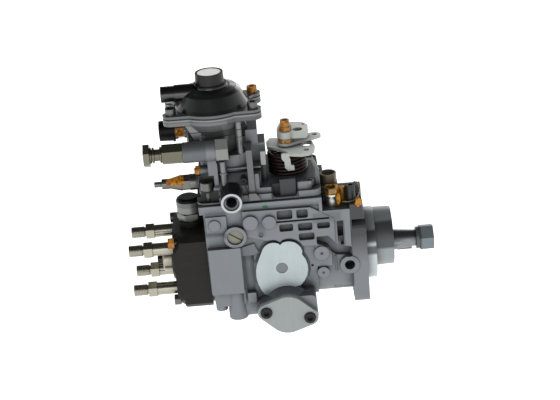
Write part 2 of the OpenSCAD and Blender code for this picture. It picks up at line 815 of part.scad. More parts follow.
module outlet_adapter() {
    color(plated) difference() {
        union() {
            xhex(16.8, -178.6, -160.1, return_y, return_z);
            xcyl(10.9, -161, -150, return_y, return_z);
        }
        xcyl(8.2, -180, -155, return_y, return_z);
        xcyl(5, -156, -149, return_y, return_z);
    }
}

module outlet_bolt() {
    color(plated) {
        xhex(19, -195.4, -189.9, return_y, return_z);
        xcyl(8, -191, -162, return_y, return_z);
        for (x = [-189.9, -187.4, -180.7])
            difference() {
                xcyl(14.4, x + 0.05, x + 1.6, return_y, return_z);
                xcyl(11, x, x + 2, return_y, return_z);
            }
        difference() {
            xcyl(10.7, -189.8, -178.7, return_y, return_z);
            xcyl(7.9, -190, -178, return_y, return_z);
        }
    }
}

module blanking_plugs() {
    y = -near_y;
    color([0.6, 0.6, 0.52]) difference() {
        ycyl(14.6, y - 3, y + 3.8, plug_at[0], plug_at[1]);
        translate([plug_at[0], 0, plug_at[1]]) rotate([0, 35, 0])
            block([-8, 8], [y - 4, y - 1.8], [-0.8, 0.8]);
    }
    color("gray") ycyl(10.4, y - 2.6, y + 5, heart[0], heart[1]);
    color("gray") xhex(19, return_x1 + 0.1, return_x1 + 11, return_y, return_z, 8);
    color("gray") xcyl(10.9, return_x1 - 6, return_x1 + 0.2, return_y, return_z);
    // Post under the plug
    color("gray") {
        zcyl(5, 87, return_z - 10.6, post_x, post_y);
        zcyl(7, 98.2, 99.4, post_x, post_y);
    }
}

module adjusting_screws() {
    color(plated) {
        xcyl(5.2, -191.2, -184, load_y, load_z);
        xcyl(9.6, -184 - eps, -175.8, load_y, load_z);
        xcyl(10, -175.8 - eps, -165.6, load_y, load_z, 15.2);
        xhex(13.4, -165.6 - eps, -158, load_y, load_z);
        xcyl(15.2, -158 - eps, -152.1, load_y, load_z);
        xcyl(5.8, -152.2, -130, load_y, load_z);
    }
    color(lacquer) {
        xhex(8, -150.8, -146.6, -28, 100);
        xcyl(5, -152, -138, -28, 100);
    }
    // Small screw in the near wall
    color(black) difference() {
        ycyl(4.8, -43.4, -31.2, -107.8, 92);
        ycyl(2.6, -44, -41.6, -107.8, 92);
    }
}

// Strap that stands on the cover beside the spring
module lever_bracket() {
    strap = [-103.6, -98.2];
    color("gray") {
        // Flared foot, strap and arm back to the tower
        along_y(-near_y - 1.9, -near_y - 0.05)
            polygon([[-104.2, 73], [-94.6, 73], [-94.6, 76], [-98.2, 80], [-104.2, 80]]);
        block(strap, [-near_y - 1.9, -41.1], [78.1, 80]);
        block(strap, [-43.1, -41.1], [79.9, 121]);
        block(strap, [-43.1, -20.05], [118.9, 121]);
        // Stop strap at the right end of the cover
        along_y(-32, -28) polygon([
            [-42.8, 78.05], [-38.8, 78.05], [-38.8, 92], [-44.4, 104.8], [-50, 104.8],
            [-50, 102.6], [-46, 102.6], [-42.8, 94]
        ]);
        // Pale clip beside the spring
        block([-91, -86.4], [-27, -25], [99.5, 112.5]);
        block([-89.6, -86.8], [-26.8, -25.2], [throttle_deck + 0.05, 99.6]);
    }
}

module port_tube() {
    color("dimgray") difference() {
        union() {
            zcyl(15.4, 72, 81.5, -30.6, -15);
            zcyl(13.6, 60, 72 + eps, -30.6, -15);
        }
        zcyl(12, 66, 82, -30.6, -15);
        zcyl(9, 59, 67, -30.6, -15);
    }
}

module lock_bolt() {
    color([0.5, 0.4, 0.28]) difference() {
        union() {
            zhex(13, 69, 74.5, -29, -32, 8);
            zcyl(8, 42, 69 + eps, -29, -32);
        }
        zcyl(8, 71, 75, -29, -32);
    }
    color(bright) {
        difference() {
            zcyl(15, 67, 68.95, -29, -32);
            zcyl(8.4, 66, 70, -29, -32);
        }
        difference() {
            union() {
                zcyl(12.4, 57, 63.6, -29, -32);
                zcyl(12.4, 63.5, 66.9, -29, -32, 9.4);
            }
            zcyl(8.4, 56, 68, -29, -32);
        }
    }
    // Lacquered pin and black screw that the sealing wire joins
    color(lacquer) zcyl(6.2, 57.05, 72, -19.6, -28);
    color(black) difference() {
        union() {
            zcyl(8.6, 61.05, 75.6, -11.6, -34);
            zcyl(5, 51, 61.1, -11.6, -34);
        }
        zhex(4.4, 72.6, 76, -11.6, -34);
    }
}

// Timing device

module timing_cover_outline() {
    translate([timing_x, timing_z]) rotate(timing_tilt)
        polygon(lens(18.7, 8, timing_bolt_gap / 2, 16));
}

module advance_cover() {
    color(zinc) difference() {
        along_y(-timing_y, -timing_y + 5) timing_cover_outline();
        for (p = timing_bolts) {
            ycyl(6.4, -timing_y - 1, -timing_y + 6, p[0], p[1]);
            ycyl(10.8, -timing_y - 1, -timing_y + 1.5, p[0], p[1]);
        }
    }
}

module spring_cover() {
    color(zinc) difference() {
        union() {
            along_y(timing_y - 5, timing_y) timing_cover_outline();
            ycyl(26, timing_y - eps, timing_y + 4, timing_x, timing_z, 22);
        }
        ycyl(18, timing_y - 6, timing_y + 1, timing_x, timing_z);
        for (p = timing_bolts) {
            ycyl(6.4, timing_y - 6, timing_y + 1, p[0], p[1]);
            ycyl(10.8, timing_y - 1.5, timing_y + 1, p[0], p[1]);
        }
    }
}

module timing_piston() {
    color("silver") difference() {
        ycyl(timing_d - 2 * run_gap, -57, 14, timing_x, timing_z);
        zcyl(9, timing_z - 6, timing_z + 14, timing_x, -4);
        block([timing_x - 4.5, timing_x + 4.5], [-7.5, 0], [timing_z - 6, timing_z + 14]);
        ycyl(19, 4, 15, timing_x, timing_z);
    }
}

module timing_spring() {
    color(spring_steel) translate([timing_x, 4.1, timing_z]) rotate([-90, 0, 0])
        coil(7, 2.2, timing_y + 0.8 - 4.1, 7);
}

// Parts in the front of the housing

module shaft_bush() {
    color(bronze) difference() {
        xcyl(2 * bush_r - 0.02, -14, 14);
        xcyl(shaft_d + 2 * run_gap, -15, 15);
    }
}

module shaft_seal() {
    color("black") difference() {
        xcyl(29.98, 15, 23);
        xcyl(shaft_d + 2 * run_gap, 14, 20);
        xcyl(25, 19.9, 24);
    }
}

module feed_ring() {
    color("silver") {
        difference() {
            xcyl(2 * pump_bore_r - 0.1, pump_x0, pump_x1);
            xcyl(44, pump_x0 - 1, pump_x1 + 1, z = 2);
        }
        difference() {
            xcyl(2 * pump_bore_r - 0.1, pump_x0 - 2.9, pump_x0 - 0.1);
            xcyl(32, pump_x0 - 4, pump_x0 + 1);
        }
    }
}

module feed_rotor() {
    color("gray") difference() {
        xcyl(36, pump_x0 + 0.4, pump_x1 - 0.4);
        xcyl(shaft_d + 0.02, pump_x0, pump_x1);
        for (a = [0:90:270])
            rotate([a, 0, 0]) block([pump_x0, pump_x1], [-1.1, 1.1], [12.5, 20]);
    }
    color("dimgray") for (a = [0:90:270])
        rotate([a, 0, 0]) block([pump_x0 + 0.4, pump_x1 - 0.4], [-1, 1], [12.6, 19.5]);
}

// Drive line

module drive_shaft() {
    color("silver") difference() {
        union() {
            xcyl(shaft_d, -47, taper_x);
            xcyl(shaft_d, taper_x - eps, thread_x, d2 = shaft_d - taper_l / 5);
            xcyl(shaft_thread_d, thread_x - eps, thread_end);
            xcyl(42, -52, -47);
            for (s = [-1, 1])
                along_x(-73, -51.9) polygon([
                    [s * 8, -4], [s * 15, -4], [s * 15, 4], [s * 8, 4]
                ]);
        }
        block([taper_x + 3, taper_x + 19], [-2, 2], [-12, -7.4]);
    }
    color("gray") block([taper_x + 4, taper_x + 18], [-1.95, 1.95], [-10.6, -7.5]);
}

module shaft_nut() {
    x = thread_x + 0.1;
    color([0.5, 0.56, 0.6]) difference() {
        xhex(shaft_nut_af, x + 3.4, thread_end - 0.4, turn = 12);
        xcyl(shaft_thread_d + 0.02, x, thread_end + 1);
    }
    color("gray") difference() {
        xcyl(21, x, x + 3.3);
        xcyl(16.2, x - 1, x + 4);
    }
}

module drive_gear() {
    color("gray") difference() {
        along_x(gear_x0, gear_x1) gear_outline(drive_teeth, 90 / drive_teeth);
        xcyl(shaft_d + 0.02, gear_x0 - 1, gear_x1 + 1);
    }
}

module coupling_disc() {
    color("silver") difference() {
        xcyl(31, -72, -67);
        for (a = [0:90:270])
            rotate([a, 0, 0]) block([-73, -66], [7.6, 16], [-4.4, 4.4]);
    }
}

module cam_plate() {
    color("silver") {
        xcyl(48, cam_x0, cam_x1);
        for (i = [0:3])
            rotate([90 * i, 0, 0]) along_x(cam_x1 - eps, cam_x1 + cam_lift)
                polygon(concat(arc([0, 0], 23.2, -9, 9, 4), arc([0, 0], 17, 9, -9, 4)));
        for (s = [-1, 1])
            along_x(cam_x1 - eps, -66) polygon([
                [-4, s * 8], [-4, s * 15], [4, s * 15], [4, s * 8]
            ]);
    }
}

module distributor_plunger() {
    color("silver") difference() {
        xcyl(2 * plunger_r, plunger_end, cam_x0);
        xcyl(3, plunger_end - 1, -118);
        rotate([30, 0, 0]) block([plunger_end + 6, plunger_end + 16], [4.6, 8], [-1, 1]);
    }
}

module plunger_spring() {
    color(spring_steel) for (s = [-1, 1])
        translate([spigot_end + 0.3, 18 * s, -4]) rotate([0, 90, 0])
            coil(4.4, 2, cam_x0 - spigot_end - 0.7, 5, 12);
}

module control_collar() {
    color("silver") difference() {
        xcyl(20, collar_x0, collar_x1);
        xcyl(2 * plunger_r + 2 * run_gap, collar_x0 - 1, collar_x1 + 1);
        difference() {
            xcyl(22, collar_x0 + 2.4, collar_x1 - 2.4);
            xcyl(14, collar_x0 + 2, collar_x1 - 2);
        }
    }
}

module roller_ring() {
    color("gray") rotate([retard_angle, 0, 0]) {
        difference() {
            xcyl(51, ring_x0, ring_x1);
            xcyl(34, ring_x0 - 1, ring_x1 + 1);
            for (a = [45:90:315])
                rotate([a, 0, 0]) block([ring_x0 - 1, ring_x1 - 3.6], [-5.4, 5.4], [0, 26]);
        }
        zcyl(6, -41, -24, timing_x, 0);
    }
    color("silver") rotate([retard_angle, 0, 0])
        for (a = [45:90:315])
            rotate([a, 0, 0]) zcyl(10, 17.4, 24.6, -83, 0);
}

// Governor

module governor_shaft() {
    color("silver") xcyl(7.98, -88, -27, z = governor_z);
}

module governor_cage() {
    color("gray") translate([0, 0, governor_z]) difference() {
        union() {
            along_x(gear_x0, gear_x1) gear_outline(governor_teeth, 90 / governor_teeth);
            xcyl(26, -46, gear_x0 + eps);
            xcyl(40, -49, gear_x0 - 0.6);
            difference() {
                xcyl(40, -67, -49 + eps);
                xcyl(36, -68, -48.9);
            }
            // Ears that hold the flyweight pins
            for (a = [0:90:270], s = [-8.4, 8.4])
                rotate([a, 0, 0]) block([-54, -48.9], [s - 1.8, s + 1.8], [12, 18.9]);
        }
        xcyl(8 + 2 * run_gap, -70, gear_x1 + 1);
        for (a = [0:90:270])
            rotate([a, 0, 0]) {
                block([-68, -50], [-6.4, 6.4], [10, 22]);
                ycyl(3.1, -11, 11, -51, 17.5);
            }
    }
}

module flyweight(i) {
    color("silver") translate([0, 0, governor_z]) rotate([90 * i, 0, 0]) {
        along_y(-5.6, 5.6)
            polygon([[-50.8, 12], [-50.8, 18.4], [-53, 18.8], [-65.4, 18.8], [-65.4, 11], [-52, 10.5]]);
        along_y(-4.5, 4.5) polygon([[-52, 5.4], [-52, 11.5], [-56.6, 11.5], [-56.6, 5.4]]);
        ycyl(3, -9.6, 9.6, -51, 17.5);
    }
}

module sliding_sleeve() {
    color("silver") difference() {
        union() {
            xcyl(11.6, sleeve_end, -59, z = governor_z);
            xcyl(18, -59.5, -57, z = governor_z);
        }
        xcyl(8 + 2 * run_gap, sleeve_end + 5, -56, z = governor_z);
    }
}

module governor_lever() {
    color("gray") {
        difference() {
            along_y(-4, 4) polygon([
                [-101.4, 79], [-97.6, 79], [-96, 60], [-95.6, 44], [-98, 37], [-107, 26],
                [-110, 22], [-112.5, 14], [-118, 14], [-118.5, 22], [-118, 32], [-113, 36],
                [-104, 39], [-101, 46]
            ]);
            ycyl(5.02, -5, 5, lever_pivot[0], lever_pivot[1]);
        }
        zcyl(4, 7.7, 14.5, -115.5, 0);
    }
    color("silver") ycyl(5, -33.5, 33.5, lever_pivot[0], lever_pivot[1]);
}

module governor_spring() {
    color(spring_steel) translate([-95.4, 0, 75.4]) rotate([0, 90, 0])
        coil(3.6, 1.4, 20, 7, 12, 6);
}

// Throttle

module throttle_shaft() {
    color("silver") {
        zcyl(10, 77, lever_z + 6, throttle_x, throttle_y);
        zcyl(5.3, lever_z + 6 - eps, lever_z + 13.5, throttle_x, throttle_y);
        zcyl(16, 73.5, 77 + eps, throttle_x, throttle_y);
        zcyl(4, 72.4, 73.6, throttle_x - 5, throttle_y);
    }
}

module throttle_lever() {
    color(zinc) translate([throttle_x, throttle_y, 0]) difference() {
        union() {
            zcyl(16, lever_z, lever_z + 6);
            along_z(lever_z, lever_z + 6) polygon([
                [7, -7.5], [18.4, -8.4], [21, -1], [21.2, 10], [16, 18.4], [0, 22.4],
                [-5, 20], [-7.8, 6], [-7.8, 0]
            ]);
        }
        zcyl(10.02, lever_z - 1, lever_z + 7);
        translate([11.4, 0, 0]) zcyl(8.8, lever_z - 1, lever_z + 7);
        translate([17, 12, 0]) zcyl(3, lever_z - 1, lever_z + 7);
    }
    // Lacquered nut below the lever and hollow screw above it
    color(lacquer) translate([throttle_x, throttle_y, 0]) {
        difference() {
            zhex(13, link_z + 2.7, lever_z - 0.05);
            zcyl(10.02, link_z, lever_z + 1);
        }
        difference() {
            union() {
                zhex(10.4, lever_z + 6.05, lever_z + 10, 0, 0, 14);
                zcyl(8.6, lever_z + 9.9, lever_z + 16.2);
            }
            zcyl(5.4, lever_z + 6, lever_z + 17);
        }
    }
}

module throttle_plate() {
    color(zinc) translate([throttle_x, throttle_y, 0]) {
        difference() {
            along_z(plate_z, plate_z + 2.5) polygon([
                [-18, -1], [-8, -7], [1, -19], [-5.5, -20.4], [-5.5, -22.6], [2, -22.6],
                [7, -24.4], [13, -26], [20, -24.5], [24.5, -19], [26, -9], [24, 4],
                [19, 15], [1, 18.5], [-9, 20], [-15, 20.5], [-18.5, 12]
            ]);
            zcyl(10.02, plate_z - 1, plate_z + 4);
            translate([18.6, -1.6, 0]) zcyl(9.6, plate_z - 1, plate_z + 4);
            translate([17.6, -16, 0]) zcyl(5.4, plate_z - 1, plate_z + 4);
        }
        // Hook that hangs in front of the spring
        along_y(-22.6, -20.4) polygon([
            [-5.5, plate_z + 1], [-5.5, 105], [-3, 101.5], [-3, 96], [0, 93], [5.5, 93],
            [5.5, 97.5], [2.5, 98.5], [2.5, 103.5], [1, plate_z + 1]
        ]);
    }
    // Pierced link under the nut
    color(zinc) translate([throttle_x, throttle_y, 0]) rotate([0, 0, 22])
        along_z(link_z, link_z + 2.6) difference() {
            polygon(link(8, 6, 28.8));
            circle(d = 10.02);
            translate([28.8, 0]) circle(d = 5);
        }
}

module throttle_spring() {
    color(spring_steel) translate([throttle_x, throttle_y, throttle_deck + 0.3])
        coil(spring_r - 1.6, 3.2, plate_z - throttle_deck - 0.6, 6, 24, 8);
}

pump_housing();
governor_cover();
cover_gasket();
cap_screws();
advance_screws();
hydraulic_head();
distributor_sleeve();
head_plug();
outlet_holder(0);  // outlet_holder_1
outlet_holder(1);  // outlet_holder_2
outlet_holder(2);  // outlet_holder_3
outlet_holder(3);  // outlet_holder_4
solenoid_body();
solenoid_cap();
solenoid_armature();
boost_bowl();
boost_dome();
boost_cap_disc();
boost_diaphragm();
boost_spring();
side_cap();
side_nut();
outlet_adapter();
outlet_bolt();
blanking_plugs();
adjusting_screws();
lever_bracket();
port_tube();
lock_bolt();
advance_cover();
spring_cover();
timing_piston();
timing_spring();
shaft_bush();
shaft_seal();
feed_ring();
feed_rotor();
drive_shaft();
shaft_nut();
drive_gear();
coupling_disc();
governor_shaft();
governor_cage();
flyweight(0);  // flyweight_1
flyweight(1);  // flyweight_2
flyweight(2);  // flyweight_3
flyweight(3);  // flyweight_4
sliding_sleeve();
governor_lever();
governor_spring();
roller_ring();
cam_plate();
distributor_plunger();
plunger_spring();
control_collar();
delivery_valves();
throttle_shaft();
throttle_lever();
throttle_plate();
throttle_spring();
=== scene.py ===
import json
import math
import random

import bpy
from mathutils import Matrix, Vector


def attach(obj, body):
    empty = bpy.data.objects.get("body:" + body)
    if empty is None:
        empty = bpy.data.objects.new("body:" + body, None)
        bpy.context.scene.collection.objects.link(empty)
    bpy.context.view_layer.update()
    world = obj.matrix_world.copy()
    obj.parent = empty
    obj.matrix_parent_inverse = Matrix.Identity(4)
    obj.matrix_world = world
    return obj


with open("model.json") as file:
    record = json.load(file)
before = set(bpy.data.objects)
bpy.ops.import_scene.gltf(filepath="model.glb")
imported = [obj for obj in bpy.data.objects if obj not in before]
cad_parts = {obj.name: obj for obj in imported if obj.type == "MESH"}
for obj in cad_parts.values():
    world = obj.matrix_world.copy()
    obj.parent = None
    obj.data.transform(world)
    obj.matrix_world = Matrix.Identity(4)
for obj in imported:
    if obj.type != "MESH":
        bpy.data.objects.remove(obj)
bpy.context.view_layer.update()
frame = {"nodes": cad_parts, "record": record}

# Finishes and pieces are written in millimetres, in the frame of the CAD:
# X along the drive shaft, Z up, the camera on the -Y side.
MM = 0.001
rng = random.Random(11)


# Shader building


class Value:
    """A shader socket that takes plain arithmetic."""

    def __init__(self, tree, socket):
        self.tree = tree
        self.socket = socket

    def math(self, operation, *others, clamp=False):
        node = self.tree.nodes.new("ShaderNodeMath")
        node.operation = operation
        node.use_clamp = clamp
        for slot, item in zip(node.inputs, (self, *others)):
            if isinstance(item, Value):
                self.tree.links.new(item.socket, slot)
            else:
                slot.default_value = item
        return Value(self.tree, node.outputs[0])

    def flipped(self, operation, other):
        node = self.tree.nodes.new("ShaderNodeMath")
        node.operation = operation
        node.inputs[0].default_value = other
        self.tree.links.new(self.socket, node.inputs[1])
        return Value(self.tree, node.outputs[0])

    def __add__(self, other):
        return self.math("ADD", other)

    __radd__ = __add__

    def __sub__(self, other):
        return self.math("SUBTRACT", other)

    def __rsub__(self, other):
        return self.flipped("SUBTRACT", other)

    def __mul__(self, other):
        return self.math("MULTIPLY", other)

    __rmul__ = __mul__

    def __truediv__(self, other):
        return self.math("DIVIDE", other)

    def __rtruediv__(self, other):
        return self.flipped("DIVIDE", other)

    def __pow__(self, other):
        return self.math("POWER", other)

    def either(self, other):
        """The larger of two values."""
        return self.math("MAXIMUM", other)

    def above(self, limit):
        return self.math("GREATER_THAN", limit)

    def below(self, limit):
        return self.math("LESS_THAN", limit)

    def inside(self, low, high):
        """1 from low to high, 0 outside."""
        return self.above(low) * self.below(high)

    def rise(self, low, high):
        """0 below low, 1 above high, straight in between."""
        return ((self - low) / (high - low)).math("ADD", 0.0, clamp=True)

    def wave(self, pitch):
        """A smooth wave from 0 to 1 that repeats every pitch."""
        return (self * (2.0 * math.pi / pitch)).math("SINE") * 0.5 + 0.5


class Shade:
    """One material with its node tree."""

    def __init__(self, name):
        self.material = bpy.data.materials.new(name)
        self.material.use_nodes = True
        self.tree = self.material.node_tree
        self.tree.nodes.clear()
        self.output = self.tree.nodes.new("ShaderNodeOutputMaterial")
        self.body = self.tree.nodes.new("ShaderNodeBsdfPrincipled")
        self.tree.links.new(self.body.outputs[0], self.output.inputs[0])

    def feed(self, slot, item):
        """Links a value to an input, or writes a constant there."""
        if isinstance(item, Value):
            self.tree.links.new(item.socket, slot)
        else:
            slot.default_value = item

    def node(self, kind, settings=None, **inputs):
        made = self.tree.nodes.new("ShaderNode" + kind)
        for key, value in (settings or {}).items():
            setattr(made, key, value)
        for key, value in inputs.items():
            self.feed(made.inputs[key.replace("_", " ")], value)
        return made

    def out(self, node, name=0):
        return Value(self.tree, node.outputs[name])

    def place(self):
        """Object coordinates in millimetres, as a vector and as x, y, z."""
        coords = self.node("TexCoord")
        scaled = self.node("VectorMath", {"operation": "SCALE"},
                           Vector=self.out(coords, "Object"), Scale=1.0 / MM)
        split = self.node("SeparateXYZ", Vector=self.out(scaled))
        return self.out(scaled), [self.out(split, axis) for axis in "XYZ"]

    def noise(self, vector, size, detail=3.0, rough=0.5):
        """Noise between 0 and 1 with features of about size millimetres."""
        return self.out(self.node("TexNoise", Vector=vector, Scale=1.0 / size,
                                  Detail=detail, Roughness=rough))

    def streaks(self, vector, size, stretch):
        """Noise drawn out along the axes that have a small stretch."""
        drawn = self.node("VectorMath", {"operation": "MULTIPLY"})
        self.feed(drawn.inputs[0], vector)
        self.feed(drawn.inputs[1], stretch)
        return self.noise(self.out(drawn), size, detail=2.0)

    def mix(self, factor, low, high):
        """One colour where factor is 0, the other where it is 1."""
        made = self.node("Mix", {"data_type": "RGBA"})
        factor_slot, low_slot, high_slot = (made.inputs[number] for number in (0, 6, 7))
        self.feed(factor_slot, factor)
        self.feed(low_slot, low)
        self.feed(high_slot, high)
        return Value(self.tree, made.outputs[2])

    def set(self, **inputs):
        """Inputs of the Principled shader."""
        for key, value in inputs.items():
            self.feed(self.body.inputs[key.replace("_", " ")], value)


def rgb(red, green, blue):
    """Colour as seen, 0 to 255, turned into the shader's own numbers."""
    parts = [((v / 255 + 0.055) / 1.055) ** 2.4 if v > 10 else v / 255 / 12.92
             for v in (red, green, blue)]
    return (*parts, 1.0)


def tint(colour, factor, lift=0.0):
    """The same colour, darker or lighter."""
    return tuple(min(1.0, v * factor + lift) for v in colour[:3]) + (1.0,)


BEVEL_SAMPLES = 6
HOLLOW_SAMPLES = 6
HOLLOW_REACH = 10.0
MOTTLE_SIZE = 9.0
GLOSS_SPREAD = 0.12
COAT_ROUGHNESS = 0.08
BUMP_SCALE = 4.0
BUMP_STRENGTH = 0.6

# Where the wear of edges, the painted shade on upward faces and the dirt and painted shade in
# hollows start and are full
EDGE_RANGE = (0.01, 0.2)
UPWARD_RANGE = (0.25, 0.9)
GRIME_AND_SHADE_RANGE = (0.06, 0.6)

# How the colour is darkened for the painted shade on top and in hollows, and lightened along worn
# edges
TOP_SHADE_TINT = 0.2
GRIME_AND_SHADE_TINT = 0.16
WORN_SHADE = 1.5
WORN_LIFT = 0.06

NEAR_WALLS = (-60.0, -28.0)

LACQUER = rgb(206, 134, 0)
LACQUER_THICK = rgb(118, 62, 0)
LACQUER_THIN = rgb(186, 138, 20)
# Near black for painted shadow
PAINTED_SHADOW = rgb(12, 12, 13)


class Surface:
    """What a finish has worked out so far, open to changes in places."""

    def __init__(self, shade, edge_radius):
        self.shade = shade
        self.point, (self.x, self.y, self.z) = shade.place()
        self.bevel = shade.node("Bevel", {"samples": BEVEL_SAMPLES}, Radius=edge_radius * MM)
        normal = shade.out(shade.node("NewGeometry"), "Normal")
        turned = shade.node("VectorMath", {"operation": "DOT_PRODUCT"})
        shade.feed(turned.inputs[0], shade.out(self.bevel))
        shade.feed(turned.inputs[1], normal)
        self.edge = (1.0 - shade.out(turned, "Value")).rise(*EDGE_RANGE)
        facing = shade.node("SeparateXYZ", Vector=normal)
        self.upward = shade.out(facing, "Z").rise(*UPWARD_RANGE)
        open_sky = shade.node("AmbientOcclusion", {"samples": HOLLOW_SAMPLES},
                              Distance=HOLLOW_REACH * MM)
        self.hollow = 1.0 - shade.out(open_sky, "AO")

    def box(self, x=None, y=None, z=None):
        """1 in a box of the object, from the limits that are given."""
        mask = 1.0
        for value, span in ((self.x, x), (self.y, y), (self.z, z)):
            if span:
                mask = value.inside(*span) * mask
        return mask

    def near_side(self, x, z, fade=3.0):
        """Like box for the near walls of the casting, fading out over fade millimetres."""
        mask = self.box(y=NEAR_WALLS)
        for value, (low, high) in ((self.x, x), (self.z, z)):
            mask = value.rise(low - fade, low) * (1.0 - value.rise(high, high + fade)) * mask
        return mask

    def round(self, across, up, centre, radius):
        """1 within radius of an axis, across and up being two of x, y, z."""
        far = ((across - centre[0]) ** 2.0 + (up - centre[1]) ** 2.0).math("SQRT")
        return far.below(radius)

    def patch(self, mask, colour=None, rough=None, metallic=None, smooth=0.0):
        """Another finish where the mask is 1."""
        if colour is not None:
            self.base = self.shade.mix(mask, self.base, colour)
        if rough is not None:
            self.level = mask * rough + (1.0 - mask) * self.level
        if metallic is not None:
            self.metallic = mask * metallic + (1.0 - mask) * self.metallic
        if smooth:
            self.height = self.height * (1.0 - mask * smooth)

    def lacquer(self, mask, cover=0.75):
        """Sealing lacquer, brushed on by hand: brown where thick, golden where thin."""
        blot = self.shade.noise(self.point, size=5.0, detail=2.0)
        thick = self.shade.noise(self.point, size=2.6, detail=2.0)
        start = 0.62 - cover * 0.5
        kept = mask * blot.rise(start, start + 0.08)
        tone = self.shade.mix(thick.rise(0.4, 0.65), LACQUER, LACQUER_THICK)
        tone = self.shade.mix((1.0 - thick).rise(0.55, 0.7), tone, LACQUER_THIN)
        self.patch(kept, tone, rough=0.32, metallic=0.0, smooth=0.4)


def finish(name, colour, rough=0.4, metallic=1.0, grain=1.2, bump=0.02, mottle=0.12, dirt_and_shade=0.6,
           edge=0.35, edge_light=0.25, shine=0.5, coat=0.0, top_shade=0.0, changes=None):
    """A worn surface: mottled colour, soft edges, dirt and painted shade in hollows, painted shade
    on top.

    grain and edge are sizes in millimetres. mottle, dirt_and_shade, edge_light and top_shade say
    how strong the colour variation, the dirt and painted shade in hollows, the wear along edges
    and the painted shade on upward faces are. changes is a function that alters places of the
    surface.
    """
    shade = Shade(name)
    face = Surface(shade, edge)
    coarse = shade.noise(face.point, MOTTLE_SIZE)
    fine = shade.noise(face.point, grain, detail=4.0)
    face.base = shade.mix(coarse * 0.6 + fine * 0.4,
                          tint(colour, 1.0 - mottle), tint(colour, 1.0 + mottle))
    face.level = (coarse - 0.5) * GLOSS_SPREAD + (fine - 0.5) * GLOSS_SPREAD + rough
    face.metallic = metallic
    face.height = fine
    face.coat = coat
    # Painted shade: upward faces are darkened, as they fall dark under this light
    if top_shade:
        face.patch(face.upward * top_shade, tint(colour, TOP_SHADE_TINT))
    if changes:
        changes(face)
    worn = tint(colour, WORN_SHADE, WORN_LIFT)
    face.base = shade.mix(face.edge * edge_light, face.base, worn)
    # Dirt and painted shade: hollows found by ambient occlusion are darkened
    grime_and_shade = (face.hollow * (coarse * 0.5 + 0.75)).rise(*GRIME_AND_SHADE_RANGE) * dirt_and_shade
    face.base = shade.mix(grime_and_shade, face.base, tint(colour, GRIME_AND_SHADE_TINT))
    lump = shade.node("Bump", Height=face.height, Distance=bump * MM * BUMP_SCALE,
                      Strength=BUMP_STRENGTH, Normal=shade.out(face.bevel))
    shade.set(Base_Color=face.base, Roughness=face.level, Metallic=face.metallic,
              Normal=shade.out(lump), Specular_IOR_Level=shine,
              Coat_Weight=face.coat, Coat_Roughness=COAT_ROUGHNESS)
    return shade.material


# Places on single nodes that have a finish of their own

SPIGOT_X = (0.02, 9.6)
NOSE_X = (9.6, 40.0)
HEART_CENTRE = (-80.0, 2.0)
INLET_CENTRE = (-120.0, 79.5)
LEVER_AXIS = (-66.5, -8.0)
SHAFT_AXIS = (0.0, 0.0)


def turned_marks(face, mask, colour, rough=0.32, metallic=0.9):
    """A machined place with fine tool marks."""
    marks = face.shade.noise(face.point, size=0.9, detail=2.0)
    tone = face.shade.mix(marks, tint(colour, 0.88), tint(colour, 1.08))
    face.patch(mask, tone, rough, metallic, smooth=0.8)


def housing_changes(face):
    heart = (face.box(y=(-47.3, -46.7), z=(-26.0, 34.0))
             * face.round(face.x, face.z, HEART_CENTRE, radius=34.0))
    brushed = face.shade.streaks(face.point, size=1.6, stretch=(1.0, 1.0, 0.05))
    turned_marks(face, heart, rgb(180, 190, 193), rough=0.42, metallic=0.6)
    face.patch(heart * brushed.rise(0.35, 0.75) * 0.4, rgb(166, 177, 181))
    turned_marks(face, face.box(x=SPIGOT_X), rgb(190, 197, 199), rough=0.38, metallic=0.75)
    turned_marks(face, face.box(x=NOSE_X), rgb(150, 155, 157), rough=0.42, metallic=0.6)

    # Painted reflection of the dark surroundings: bands along the upper part of the spigot and the
    # nose
    for x, low, high in ((SPIGOT_X, 15.0, 22.5), (SPIGOT_X, 4.0, 9.5), (NOSE_X, 6.0, 27.0)):
        band = face.z.rise(low - 2.5, low) * (1.0 - face.z.rise(high, high + 2.0))
        face.patch(face.box(x=x) * band * 0.85, rgb(58, 61, 62))

    # Painted shade that darkens the upper half of the mounting flange
    flange_top_shade = face.box(x=(-14.3, -0.02), y=(-60.0, -20.0)) * face.z.rise(0.0, 30.0)
    face.patch(flange_top_shade * 0.9, rgb(50, 49, 48), rough=0.42)

    # Painted shade in the webs between pads, bosses and ribs
    for x, z, depth in (((-150.0, -129.0), (40.5, 43.0), 0.6),
                        ((-111.0, -99.0), (12.0, 30.0), 0.3),
                        ((-98.0, -94.0), (38.0, 50.0), 0.35),
                        ((-47.0, -24.0), (47.0, 54.0), 0.35)):
        face.patch(face.near_side(x, z) * (1.0 - heart) * depth, rgb(58, 61, 64))
    run = face.shade.noise(face.point, size=22.0)
    face.patch(run.rise(0.4, 0.8) * 0.12, rgb(104, 108, 112))


